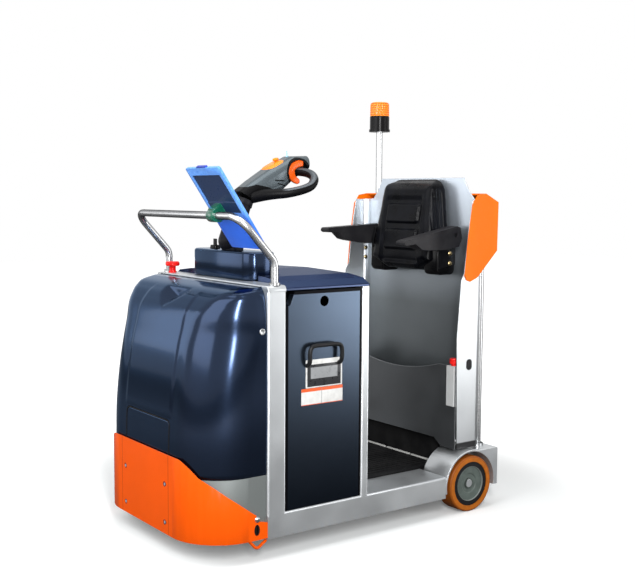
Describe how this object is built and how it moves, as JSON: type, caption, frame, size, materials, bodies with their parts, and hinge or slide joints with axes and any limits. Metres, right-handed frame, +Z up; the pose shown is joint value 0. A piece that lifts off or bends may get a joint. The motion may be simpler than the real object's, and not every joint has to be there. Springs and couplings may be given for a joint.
{
  "type": "stand-on electric baggage tow tractor",
  "caption": "Stand-on baggage tug: hooded drive and battery bay, low step, lean seat with fold-up arms, tiller steering, rear tow hitch and a warning beacon.",
  "frame": {"origin": "on the ground, under the middle of the machine's box", "axes": "+X forward in travel, +Y to the machine's left, +Z up"},
  "size_m": [1.35, 0.794, 1.566],
  "materials": {
    "frame_silver": "satin metallic powder coat",
    "plate_steel": "satin",
    "hood_blue": "gloss, dark blue grey",
    "door_dark": "fine texture, semi-matt",
    "black_plastic": "fine moulded grain",
    "orange_paint": "gloss",
    "orange_plastic": "gloss",
    "red_plastic": "gloss",
    "beacon_orange": "tinted, clear",
    "bright_steel": "polished tube",
    "board_blue": "satin",
    "clamp_green": "gloss",
    "mat_rubber": "ribbed, matt",
    "seat_vinyl": "soft grain",
    "arm_foam": "skinned foam, satin",
    "tyre_orange": "smooth polyurethane",
    "hub_grey": "painted, satin",
    "tiller_black": "fine grain",
    "tiller_grey": "satin",
    "battery_black": "matt",
    "cast_drive": "painted",
    "box_light": "satin"
  },
  "bodies": {
    "chassis": {"side_frame_left": "frame_silver", "side_frame_right": "frame_silver", "wheel_box_left": "frame_silver", "wheel_box_right": "frame_silver", "rear_beam": "frame_silver", "axle_stub_left": "plate_steel", "axle_stub_right": "plate_steel", "platform_floor": "plate_steel", "platform_mat": "mat_rubber", "tow_hitch": "cast_drive", "tow_pin": "bright_steel", "backrest_shell": "frame_silver", "pocket_front": "frame_silver", "jog_box": "box_light", "jog_button": "red_plastic", "rear_cover": "orange_plastic", "support_pole": "bright_steel", "beacon_pole": "bright_steel", "beacon_base": "black_plastic", "beacon_lens": "beacon_orange", "seat_base": "black_plastic", "seat_pad": "seat_vinyl", "arm_bracket_left": "plate_steel", "arm_bracket_right": "plate_steel", "top_bridge": "frame_silver", "handrail": "bright_steel", "bumper": "orange_paint", "front_apron": "frame_silver", "lashing_eye_left": "orange_paint", "lashing_eye_right": "orange_paint", "hood": "hood_blue", "bulkhead": "door_dark", "battery": "battery_black", "door_left": "door_dark", "door_right": "door_dark", "door_handle_left": "black_plastic", "door_handle_right": "black_plastic", "battery_cover": "hood_blue", "tiller_cowl": "hood_blue", "key_switch": "black_plastic", "emergency_knob": "red_plastic", "writing_board": "board_blue", "board_clamp": "clamp_green"},
    "rear_wheel_left": {"rear_tyre_left": "tyre_orange", "rear_hub_left": "hub_grey"},
    "rear_wheel_right": {"rear_tyre_right": "tyre_orange", "rear_hub_right": "hub_grey"},
    "seat_arm_left": {"seat_arm_left": "arm_foam"},
    "seat_arm_right": {"seat_arm_right": "arm_foam"},
    "tiller": {"tiller_column": "tiller_black", "tiller_head": "tiller_grey", "tiller_grip_left": "tiller_black", "tiller_grip_right": "tiller_black", "tiller_switch_left": "orange_plastic", "tiller_switch_right": "orange_plastic"},
    "drive_swivel": {"drive_unit": "cast_drive"},
    "drive_wheel": {"drive_tyre": "tyre_orange", "drive_hub": "hub_grey"}
  },
  "joints": [
    {"name": "rear_wheel_left_spin", "type": "hinge", "parent": "chassis", "child": "rear_wheel_left", "pos_m": [-0.485, 0.337, 0.105], "axis": [0, 1, 0], "continuous": true},
    {"name": "rear_wheel_right_spin", "type": "hinge", "parent": "chassis", "child": "rear_wheel_right", "pos_m": [-0.485, -0.337, 0.105], "axis": [0, 1, 0], "continuous": true},
    {"name": "tiller_steer", "type": "hinge", "parent": "chassis", "child": "tiller", "pos_m": [0.327, 0, 1], "axis": [0, 0, 1], "range_deg": [-85, 85]},
    {"name": "drive_steer", "type": "hinge", "parent": "chassis", "child": "drive_swivel", "pos_m": [0.5, 0, 0.2], "axis": [0, 0, 1], "range_deg": [-85, 85]},
    {"name": "drive_wheel_spin", "type": "hinge", "parent": "drive_swivel", "child": "drive_wheel", "pos_m": [0.5, 0, 0.115], "axis": [0, 1, 0], "continuous": true},
    {"name": "arm_left_fold", "type": "hinge", "parent": "chassis", "child": "seat_arm_left", "pos_m": [-0.5, 0.231, 1.03], "axis": [0, -1, 0], "range_deg": [0, 99]},
    {"name": "arm_right_fold", "type": "hinge", "parent": "chassis", "child": "seat_arm_right", "pos_m": [-0.5, -0.231, 1.03], "axis": [0, -1, 0], "range_deg": [0, 91]}
  ],
  "couplings": [
    {"joint": "drive_steer", "follows": "tiller_steer", "ratio": 1}
  ]
}
